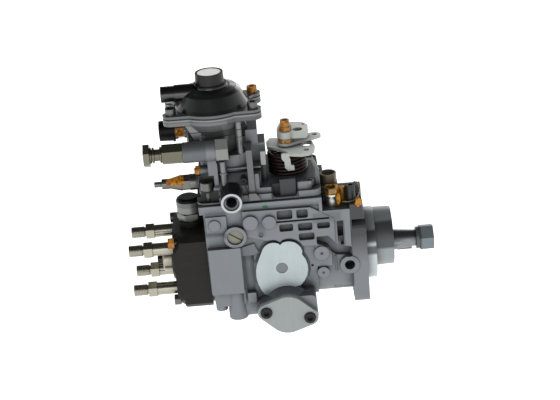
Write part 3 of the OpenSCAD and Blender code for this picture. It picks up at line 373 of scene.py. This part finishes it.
def cover_changes(face):
    """Machined inlet ring; painted shadow under the set-back corner; painted shade on the upper
    inlet boss, in the pocket and behind the bracket; a darker return boss.
    """
    ring = face.box(y=(-63.4, -62.6)) * face.round(face.x, face.z, INLET_CENTRE, radius=9.9)
    turned_marks(face, ring, rgb(178, 184, 186), rough=0.4, metallic=0.7)
    boss = (face.box(y=(-62.6, -38.0), z=(82.0, 92.0))
            * face.round(face.x, face.z, INLET_CENTRE, radius=11.5))
    corner = face.box(x=(-153.0, -131.4), y=(-48.0, -36.0), z=(73.3, 84.2))
    pocket = face.box(x=(-84.0, -59.0), y=(-46.0, -32.0), z=(72.9, 89.3))
    behind_bracket = face.box(x=(-107.5, -83.0), y=(-21.0, 8.0), z=(83.0, 116.0))
    return_boss = face.box(x=(-172.0, -139.0), y=(-60.0, -20.0), z=(112.0, 136.0))
    # Painted shadow at the corner, painted shade on the boss, in the pocket and behind the bracket
    face.patch(corner, PAINTED_SHADOW)
    face.patch(boss * 0.97, PAINTED_SHADOW)
    face.patch(pocket * 0.9, rgb(46, 48, 50))
    face.patch(behind_bracket * 0.5, rgb(58, 60, 61))
    face.patch(return_boss * 0.4, rgb(66, 69, 71))


def head_changes(face):
    """Thin rust, tool marks along the shaft and a turned boss at the outlet end."""
    rust = face.shade.noise(face.point, size=12.0, detail=4.0)
    face.patch(rust.rise(0.45, 0.75) * 0.5, rgb(38, 33, 27), rough=0.5, metallic=0.3)
    cut = face.shade.streaks(face.point, size=1.5, stretch=(0.04, 1.0, 1.0))
    face.patch(cut.rise(0.5, 0.75) * 0.3, rgb(42, 38, 33))
    boss = face.box(x=(-187.0, -179.5)) * face.round(face.y, face.z, SHAFT_AXIS, radius=22.9)
    turned_marks(face, boss, rgb(46, 43, 37), rough=0.4, metallic=0.6)


def thread_changes(face):
    """Threads at the tips of the four outlet holders, dark at their roots."""
    tip = face.box(x=(-221.8, -209.0))
    ridge = face.x.wave(pitch=1.5)
    face.height = face.height * 0.3 + tip * ridge * 3.0
    face.patch(tip * (1.0 - ridge) * 0.55, rgb(96, 92, 80), rough=0.5)


def head_plug_changes(face):
    """Black bleed screw in the end of the plug."""
    face.patch(face.box(x=(-199.0, -192.35)), rgb(34, 34, 35), rough=0.4, metallic=0.4)


def blanking_changes(face):
    """Slotted plug, heart plug, post and return plug, each in its own grey."""
    near = face.box(y=(-52.0, -40.0))
    slotted = face.round(face.x, face.z, (-120.3, 39.1), radius=9.0) * near
    heart_plug = face.round(face.x, face.z, (-80.1, 3.2), radius=7.0) * near
    turned_marks(face, slotted, rgb(134, 134, 122), rough=0.42, metallic=0.4)
    turned_marks(face, heart_plug, rgb(124, 130, 133), rough=0.45, metallic=0.3)
    post = face.box(y=(-44.0, -20.0), z=(80.0, 110.4))
    return_plug = face.z.above(112.0)
    face.patch(post, rgb(140, 144, 146), rough=0.5, metallic=0.3)
    face.patch(return_plug, rgb(140, 143, 140), rough=0.45, metallic=0.4)


def adjusting_changes(face):
    """Lacquer on the small screw and the load screw, and a black screw."""
    small_screw = face.box(x=(-156.0, -130.0), y=(-36.0, -20.0), z=(94.0, 106.0))
    black_screw = face.box(x=(-111.0, -104.0), y=(-46.0, -30.0), z=(88.0, 96.0))
    load_screw = face.box(x=(-180.0, -163.5), y=(-22.0, 0.0), z=(82.6, 93.0))
    face.lacquer(small_screw, cover=1.2)
    face.patch(black_screw, rgb(30, 30, 31), rough=0.4, metallic=0.3)
    face.lacquer(load_screw, cover=0.95)


def bracket_changes(face):
    """Clip beside the spring, dark below and pale above."""
    clip = face.box(x=(-92.0, -86.0), y=(-27.4, -24.6))
    face.patch(clip, rgb(60, 62, 62), rough=0.4)
    face.patch(clip * face.z.above(99.5), rgb(158, 162, 158), rough=0.4, metallic=0.4)


def lock_changes(face):
    """Bright spacer, lacquer on the bolt and the pin, and a black screw."""
    spacer = face.box(x=(-40.0, -21.0), z=(56.0, 68.97))
    turned_marks(face, spacer, rgb(206, 208, 204), rough=0.3)
    face.lacquer(face.box(x=(-25.6, -22.3), z=(57.0, 75.0)), cover=1.0)
    face.lacquer(face.box(x=(-36.0, -22.3), z=(68.9, 75.0)), cover=0.25)
    face.lacquer(face.box(x=(-22.9, -16.2)), cover=0.8)
    face.patch(face.box(x=(-16.2, -7.0)), rgb(52, 58, 61), rough=0.36, metallic=0.5)


def lever_changes(face):
    """Painted shade on the sides, greyer than the tops, and lacquer on the nut and the screw of the
    lever shaft.
    """
    face.patch((1.0 - face.upward) * 0.55, rgb(128, 132, 128))
    stem = face.round(face.x, face.y, LEVER_AXIS, radius=8.6)
    face.lacquer(face.box(z=(113.45, 117.97)) * stem, cover=1.0)
    face.lacquer(face.box(z=(124.03, 136.0)) * stem, cover=0.9)


def screw_changes(face):
    """Lacquer on one screw of the head and one of the dome."""
    head_screw = face.box(x=(-200.0, -178.0), y=(-40.0, -20.0), z=(15.0, 40.0))
    dome_screw = face.box(x=(-106.0, -88.0), y=(10.0, 32.0), z=(153.0, 162.0))
    face.lacquer(head_screw, cover=0.9)
    face.lacquer(dome_screw, cover=0.9)


def side_nut_changes(face):
    face.lacquer(face.box(x=(-167.0, -158.3)), cover=1.2)


def shaft_changes(face):
    """Dark streaks along the taper and the thread."""
    dark = face.shade.streaks(face.point, size=2.4, stretch=(0.12, 1.0, 1.0))
    face.patch(face.box(x=(26.0, 70.0)) * dark.rise(0.4, 0.65) * 0.6, rgb(84, 84, 84), rough=0.45)


def nut_changes(face):
    """Washer, darker than the nut."""
    washer = face.box(x=(40.0, 54.5)) * (1.0 - face.round(face.y, face.z, SHAFT_AXIS, radius=10.0))
    face.patch(washer, rgb(92, 96, 98), rough=0.4)


def spring_changes(face):
    """Darker and browner between the coils, where the hollows are."""
    face.patch(face.hollow.rise(0.2, 0.8) * 0.6, rgb(30, 20, 18))


def solenoid_changes(face):
    """Darker in the groove round the body."""
    face.patch(face.box(z=(47.9, 49.3)), rgb(60, 60, 58), rough=0.5)


def solenoid_cap_changes(face):
    """Steel rim that holds the black cap."""
    face.patch(face.box(z=(55.3, 60.0)), rgb(112, 114, 111), rough=0.38, metallic=0.6)


def dome_changes(face):
    """Plain steel edge of the dome, clamped to the bowl, and a duller cap on top."""
    face.patch(face.box(z=(150.9, 153.45)), rgb(84, 88, 88), rough=0.36, metallic=0.5)
    cap = face.z.above(172.0)
    face.patch(cap, rgb(9, 9, 10), rough=0.42)
    face.coat = (1.0 - cap) * 0.8


def bowl_changes(face):
    """Dark lines round the bowl, painted shade under its flange and a machined line on its flange.
    """
    under_flange = (143.0, 147.0)
    face.patch(face.box(z=(149.6, 151.1)), rgb(44, 46, 46), rough=0.5)
    # Painted shade under the flange, deeper on the right
    face.patch(face.box(x=(-118.0, -80.0), z=under_flange) * 0.7, rgb(60, 62, 62))
    face.patch(face.box(x=(-190.0, -118.0), z=under_flange) * 0.35, rgb(60, 62, 62))
    face.patch(face.box(z=(147.0, 148.2)), rgb(94, 97, 96), rough=0.36, metallic=0.5)
    face.patch(face.box(z=(135.6, 136.6)), rgb(70, 72, 72), rough=0.5)
    face.patch(face.box(z=(128.6, 129.4)), rgb(78, 80, 80), rough=0.5)


def pale_changes(face):
    brushed = face.shade.streaks(face.point, size=1.8, stretch=(1.0, 1.0, 0.06))
    face.patch(brushed.rise(0.3, 0.8) * 0.4, rgb(166, 172, 171))


def lacquer_changes(face):
    """Lacquer all over."""
    face.lacquer(face.box(x=(-400.0, 400.0)), cover=2.0)


BLACK_PLASTIC = dict(colour=rgb(6, 6, 7), rough=0.46, metallic=0.0, grain=0.8, bump=0.01,
                     mottle=0.1, dirt_and_shade=0.4, edge=0.4, edge_light=0.02, shine=0.2)

# By material slot of the record
LOOKS = {
    "cast": finish("cast_alloy", rgb(130, 135, 139), rough=0.5, metallic=0.3, grain=1.1,
                   bump=0.05, mottle=0.05, dirt_and_shade=0.85, edge=0.7, edge_light=0.2,
                   top_shade=0.8, changes=housing_changes),
    "gasket": finish("gasket_fibre", rgb(52, 53, 54), rough=0.8, metallic=0.0, grain=0.8),
    "screw_steel": finish("screw_steel", rgb(104, 105, 102), rough=0.36, metallic=0.9,
                          changes=screw_changes),
    "black_screw": finish("black_screw", rgb(34, 34, 35), rough=0.42, metallic=0.6),
    "head_steel": finish("head_steel", rgb(18, 17, 15), rough=0.5, metallic=0.1, grain=1.6,
                         bump=0.03, mottle=0.2, dirt_and_shade=0.4, edge=0.5, edge_light=0.12,
                         shine=0.3, changes=head_changes),
    "ground_steel": finish("ground_steel", rgb(176, 178, 180), rough=0.25, grain=0.7,
                           bump=0.01, mottle=0.08),
    "black_plastic": finish("black_plastic", **BLACK_PLASTIC),
    "black_enamel": finish("black_enamel", rgb(16, 17, 18), rough=0.34, metallic=0.0,
                           grain=1.5, bump=0.01, dirt_and_shade=0.4, edge=0.6, edge_light=0.06,
                           shine=0.4, coat=0.8, changes=dome_changes),
    "cream_plastic": finish("cream_plastic", rgb(254, 254, 250), rough=0.45, metallic=0.0,
                            bump=0.01, mottle=0.02, dirt_and_shade=0.1),
    "pressed_steel": finish("pressed_steel", rgb(160, 160, 162), rough=0.35),
    "spring_steel": finish("spring_steel", rgb(60, 48, 44), rough=0.38, metallic=0.8,
                           grain=0.9, mottle=0.3, changes=spring_changes),
    "dark_bracket": finish("dark_bracket", rgb(104, 106, 106), rough=0.42, metallic=0.7,
                           changes=bracket_changes),
    "pale_cover": finish("pale_cover", rgb(150, 157, 156), rough=0.42, metallic=0.35,
                         grain=1.3, bump=0.03, mottle=0.05, dirt_and_shade=0.5, edge=0.6,
                         edge_light=0.2, changes=pale_changes),
    "zinc_lever": finish("zinc_lever", rgb(222, 227, 221), rough=0.42, metallic=0.2,
                         dirt_and_shade=0.9, changes=lever_changes),
    "nut_zinc": finish("nut_zinc", rgb(122, 131, 136), rough=0.46, metallic=0.5,
                       changes=nut_changes),
    "bronze": finish("bronze", rgb(190, 150, 90), rough=0.35),
    "rubber": finish("rubber", rgb(26, 26, 26), rough=0.6, metallic=0.0),
}

# By node, where one differs from the rest of its slot
OWN_LOOKS = {
    "governor_cover": finish("cast_cover", rgb(126, 131, 135), rough=0.52, metallic=0.3,
                             grain=1.1, bump=0.05, mottle=0.05, dirt_and_shade=0.9, edge=0.7,
                             edge_light=0.2, top_shade=0.8, changes=cover_changes),
    "boost_bowl": finish("bowl_alloy", rgb(130, 133, 133), rough=0.36, metallic=0.5,
                         grain=1.1, bump=0.03, mottle=0.05, dirt_and_shade=0.7, edge=0.6,
                         edge_light=0.3, top_shade=0.5, changes=bowl_changes),
    "outlet_adapter": finish("adapter_finish", rgb(104, 102, 88), rough=0.32, metallic=0.9),
    "outlet_bolt": finish("adapter_bolt_finish", rgb(112, 110, 96), rough=0.32, metallic=0.9),
    "lock_bolt": finish("lock_bolt_finish", rgb(132, 108, 72), rough=0.36, metallic=0.8,
                        changes=lock_changes),
    "side_nut": finish("side_nut_finish", rgb(150, 140, 120), rough=0.34, metallic=0.8,
                       changes=side_nut_changes),
    "adjusting_screws": finish("load_screw_finish", rgb(112, 110, 106), rough=0.32,
                               metallic=0.9, changes=adjusting_changes),
    "blanking_plugs": finish("plug_finish", rgb(154, 158, 154), rough=0.45, metallic=0.4,
                             changes=blanking_changes),
    "head_plug": finish("head_plug_finish", rgb(160, 156, 142), rough=0.3, metallic=0.95,
                        changes=head_plug_changes),
    "drive_shaft": finish("shaft_finish", rgb(134, 137, 138), rough=0.32, metallic=0.95,
                          grain=0.7, bump=0.01, mottle=0.06, changes=shaft_changes),
    "port_tube": finish("tube_finish", rgb(112, 105, 92), rough=0.42, metallic=0.5),
    "solenoid_body": finish("solenoid_finish", rgb(132, 134, 130), rough=0.38, metallic=0.7,
                            changes=solenoid_changes),
    "solenoid_cap": finish("solenoid_cap_finish", **BLACK_PLASTIC, changes=solenoid_cap_changes),
}
threaded = finish("threaded_plating", rgb(160, 157, 143), rough=0.27, grain=0.9, mottle=0.08,
                  changes=thread_changes)
OWN_LOOKS.update({f"outlet_holder_{number}": threaded for number in (1, 2, 3, 4)})

slot_of = {item["node"]: item["material_slot"] for item in frame["record"]["subparts"]}
for name, thing in frame["nodes"].items():
    thing.data.materials.clear()
    thing.data.materials.append(OWN_LOOKS.get(name) or LOOKS[slot_of[name]])


# Pieces too fine for the solids


def piece(name, points, faces, look, body="root", smooth=True):
    """A mesh in millimetres that rides on a body."""
    mesh = bpy.data.meshes.new(name)
    mesh.from_pydata([[v * MM for v in point] for point in points], [], faces)
    mesh.validate()
    for face in mesh.polygons:
        face.use_smooth = smooth
    mesh.materials.append(look)
    thing = bpy.data.objects.new(name, mesh)
    bpy.context.collection.objects.link(thing)
    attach(thing, body)
    return thing


def band_faces(rings, count):
    """Quads between rings of count points that follow one another."""
    return [(i * count + k, i * count + (k + 1) % count,
             (i + 1) * count + (k + 1) % count, (i + 1) * count + k)
            for i in range(rings - 1) for k in range(count)]


def end_faces(rings, count):
    """The two faces that close a stack of rings."""
    return [tuple(range(count))[::-1], tuple(range((rings - 1) * count, rings * count))]


def smooth_path(points, steps):
    """Points of a smooth curve through the given ones."""
    path = []
    for i in range(len(points) - 1):
        p = [Vector(points[max(0, min(len(points) - 1, i + k))]) for k in (-1, 0, 1, 2)]
        for step in range(steps):
            t = step / steps
            path.append(0.5 * (2 * p[1] + (p[2] - p[0]) * t
                               + (2 * p[0] - 5 * p[1] + 4 * p[2] - p[3]) * t * t
                               + (3 * p[1] - p[0] - 3 * p[2] + p[3]) * t ** 3))
    path.append(Vector(points[-1]))
    return path


def wire(name, points, radius, look, steps, strand=None, sides=8):
    """Round wire along a smooth path; strand = (offset, turns, start angle) winds it round."""
    path = smooth_path(points, steps)
    rings = []
    up = Vector((0.3, 1.0, 0.2)).normalized()
    for i, spot in enumerate(path):
        ahead = (path[min(i + 1, len(path) - 1)] - path[max(i - 1, 0)]).normalized()
        side = up.cross(ahead).normalized()
        up = ahead.cross(side).normalized()
        centre = spot
        if strand:
            offset, turns, start = strand
            angle = turns * 2 * math.pi * i / len(path) + start
            centre = spot + offset * (side * math.cos(angle) + up * math.sin(angle))
        rings.append([centre + radius * (side * math.cos(a) + up * math.sin(a))
                      for a in (2 * math.pi * k / sides for k in range(sides))])
    faces = band_faces(len(rings), sides) + end_faces(len(rings), sides)
    return piece(name, [point for ring in rings for point in ring], faces, look)


def blob(name, centre, size, look, flat=0.0, uneven=0.16, rows=14, columns=20):
    """A drop of lacquer or a pressed seal: an uneven lump, flat by that share at its back."""
    waves = [(rng.uniform(1.5, 3.5), rng.uniform(0, 6.3), rng.uniform(0, 6.3)) for _ in range(4)]

    def spot(lat, lon):
        way = Vector((math.cos(lat) * math.cos(lon), math.cos(lat) * math.sin(lon), math.sin(lat)))
        swell = 1.0 + uneven * sum(math.sin(f * way.x * 2 + a) * math.cos(f * way.z * 2 + b)
                                   for f, a, b in waves) / 2
        place = [centre[n] + size[n] * way[n] * swell for n in range(3)]
        if flat and way.y > 0:
            place[1] = centre[1] + size[1] * way.y * swell * (1.0 - flat)
        return place

    points = [spot(math.pi * i / rows - math.pi / 2, 2 * math.pi * k / columns)
              for i in range(1, rows) for k in range(columns)]
    faces = band_faces(rows - 1, columns)
    bottom, top = len(points), len(points) + 1
    points += [spot(-math.pi / 2, 0.0), spot(math.pi / 2, 0.0)]
    last_row = (rows - 2) * columns
    for k in range(columns):
        faces.append((bottom, (k + 1) % columns, k))
        faces.append((top, last_row + k, last_row + (k + 1) % columns))
    return piece(name, points, faces, look)


def cast_web(name, outline, depths, look, chamfer=0.86):
    """Thin web: an x, z outline at four depths, drawn in by chamfer at the first and last."""
    middle = [sum(point[n] for point in outline) / len(outline) for n in (0, 1)]
    points = []
    for depth, scale in zip(depths, (chamfer, 1.0, 1.0, chamfer)):
        points += [(middle[0] + (x - middle[0]) * scale, depth, middle[1] + (z - middle[1]) * scale)
                   for x, z in outline]
    faces = band_faces(len(depths), len(outline)) + end_faces(len(depths), len(outline))
    return piece(name, points, faces, look, smooth=False)


def paint_dab(name, centre, size, look, surface, corners=16, thick=0.25, thin=0.1):
    """Dab of paint, thin at its rim; surface gives the depth of the face at a height."""
    rim = [(centre[0] + size[0] * math.cos(a) * rng.uniform(0.7, 1.1),
            centre[1] + size[1] * math.sin(a) * rng.uniform(0.7, 1.1))
           for a in (2 * math.pi * k / corners for k in range(corners))]
    points = [(centre[0], surface(centre[1]) - thick, centre[1])]
    points += [(x, surface(z) - thin, z) for x, z in rim]
    faces = [(0, k + 1, (k + 1) % corners + 1) for k in range(corners)]
    return piece(name, points, faces, look)


def ledge_depth(z):
    """Near side of the sloping ledge under the cover joint."""
    low, high, near, out = 62.0, 68.0, -44.0, 3.0
    return near - max(0.0, min(1.0, (z - low) / (high - low))) * out


amber = finish("seal_lacquer", rgb(204, 120, 30), rough=0.24, metallic=0.0, grain=1.6,
               bump=0.04, dirt_and_shade=0.4, changes=lacquer_changes)
bright_wire = finish("seal_wire", rgb(190, 178, 150), rough=0.3, grain=0.8)
dark_wire = finish("dark_wire", rgb(58, 56, 52), rough=0.4, metallic=0.7, grain=0.8)
green_paint = finish("paint_dab", rgb(36, 108, 76), rough=0.5, metallic=0.0, grain=1.0)

SEAL_LOOP = [(-21.5, -35.5, 62.2), (-18.5, -38.5, 61.6), (-14.0, -40.5, 61.8),
             (-9.0, -41.0, 62.8), (-5.4, -40.0, 66.2), (-3.2, -36.0, 71.0),
             (-4.2, -32.0, 75.4), (-8.0, -29.6, 76.6)]
SPRING_TAIL = [(-107.8, -44.0, 92.0), (-106.8, -44.6, 88.0), (-105.6, -44.4, 82.0),
               (-104.4, -43.9, 76.0)]
WEB_OUTLINE = [(-107.6, 141.0), (-107.8, 126.0), (-104.5, 124.5), (-101.2, 126.0),
               (-100.8, 134.0), (-102.6, 139.2), (-104.8, 142.0)]

for number, start in ((1, 0.0), (2, math.pi)):
    wire(f"seal_wire_{number}", SEAL_LOOP, radius=0.38, look=bright_wire,
         steps=14, strand=(0.42, 7, start))
blob("seal_blob", centre=(-5.6, -46.6, 63.2), size=(3.4, 1.8, 4.4), look=amber,
     flat=0.4)
blob("lacquer_run_1", centre=(-23.4, -39.2, 64.0), size=(2.2, 2.4, 6.2), look=amber)
wire("spring_tail", SPRING_TAIL, radius=0.5, look=dark_wire, steps=5)
cast_web("bowl_web", WEB_OUTLINE, depths=(-16.4, -15.6, -10.8, -10.0),
         look=LOOKS["black_screw"])
paint_dab("paint_mark", centre=(-90.6, 66.2), size=(3.0, 2.2), look=green_paint,
          surface=ledge_depth)


# Stage, in metres


def add_floor(side=6.0, height=-0.2, glow_strength=0.8):
    """Pale floor that is white to the camera and in reflections, and keeps the shadow."""
    mesh = bpy.data.meshes.new("floor")
    corners = [(-side, -side, height), (side, -side, height), (side, side, height),
               (-side, side, height)]
    mesh.from_pydata(corners, [], [(0, 1, 2, 3)])
    floor = bpy.data.objects.new("floor", mesh)
    bpy.context.collection.objects.link(floor)
    shade = Shade("floor_white")
    shade.set(Base_Color=(0.9, 0.9, 0.9, 1.0), Roughness=0.9)
    path = shade.node("LightPath")
    seen = (shade.out(path, "Is Camera Ray").either(shade.out(path, "Is Glossy Ray"))
            .either(shade.out(path, "Is Transmission Ray")))
    glow = shade.node("Emission", Color=(1.0, 1.0, 1.0, 1.0), Strength=seen * glow_strength)
    both = shade.node("AddShader")
    for socket, source in zip(both.inputs, (shade.body, glow)):
        shade.tree.links.new(source.outputs[0], socket)
    shade.tree.links.new(both.outputs[0], shade.output.inputs[0])
    mesh.materials.append(shade.material)


def add_studio(horizon=0.9):
    """Pale round the horizon, dark overhead, white to the camera."""
    world = bpy.data.worlds.new("studio")
    bpy.context.scene.world = world
    world.use_nodes = True
    tree = world.node_tree
    tree.nodes.clear()
    way = tree.nodes.new("ShaderNodeTexCoord")
    split = tree.nodes.new("ShaderNodeSeparateXYZ")
    tree.links.new(way.outputs["Generated"], split.inputs[0])
    rays = tree.nodes.new("ShaderNodeLightPath")
    height = Value(tree, split.outputs["Z"])
    darkness = 0.3 + 0.65 * Value(tree, rays.outputs["Is Glossy Ray"])
    light = (1.0 - height.rise(0.1, 0.55) * darkness) * horizon
    level = light.either(Value(tree, rays.outputs["Is Camera Ray"]))
    sky = tree.nodes.new("ShaderNodeBackground")
    sky.inputs[0].default_value = (1.0, 1.0, 1.0, 1.0)
    tree.links.new(level.socket, sky.inputs[1])
    end = tree.nodes.new("ShaderNodeOutputWorld")
    tree.links.new(sky.outputs[0], end.inputs[0])


def add_lamp(name, place, aim, size, power):
    """Soft rectangular lamp that faces aim."""
    data = bpy.data.lights.new(name, "AREA")
    data.shape = "RECTANGLE"
    data.size, data.size_y = size
    data.energy = power
    lamp = bpy.data.objects.new(name, data)
    bpy.context.collection.objects.link(lamp)
    lamp.location = place
    lamp.rotation_euler = (Vector(place) - Vector(aim)).to_track_quat("Z", "Y").to_euler()


def add_camera(place, back, roll, focal, sensor):
    """Camera that looks against back, level with X before it is rolled."""
    right = Vector((1.0, 0.0, 0.0))
    up = back.cross(right)
    rolled_right = right * math.cos(roll) - up * math.sin(roll)
    rolled_up = right * math.sin(roll) + up * math.cos(roll)
    lens = bpy.data.cameras.new("camera")
    lens.lens = focal
    lens.sensor_width = sensor
    lens.clip_start = 0.05
    lens.clip_end = 30.0
    camera = bpy.data.objects.new("camera", lens)
    bpy.context.collection.objects.link(camera)
    matrix = Matrix((rolled_right, rolled_up, back)).transposed().to_4x4()
    matrix.translation = Vector(place)
    camera.matrix_world = matrix
    bpy.context.scene.camera = camera


CENTRE = (-0.08, 0.0, 0.05)

add_floor()
add_studio()
add_lamp("key", place=(-0.35, -1.6, 0.42), aim=CENTRE, size=(1.1, 0.8), power=4.3)
add_lamp("back", place=(0.6, 1.5, 0.5), aim=CENTRE, size=(1.0, 0.8), power=3.6)
# Place, direction and roll from the vanishing lines of the photograph
add_camera(place=(-0.0766, -1.20516, 0.58768), back=Vector((0.0, -0.91355, 0.40674)),
           roll=math.radians(4.9), focal=90.0, sensor=36.0)
bpy.context.scene.view_settings.view_transform = "Standard"
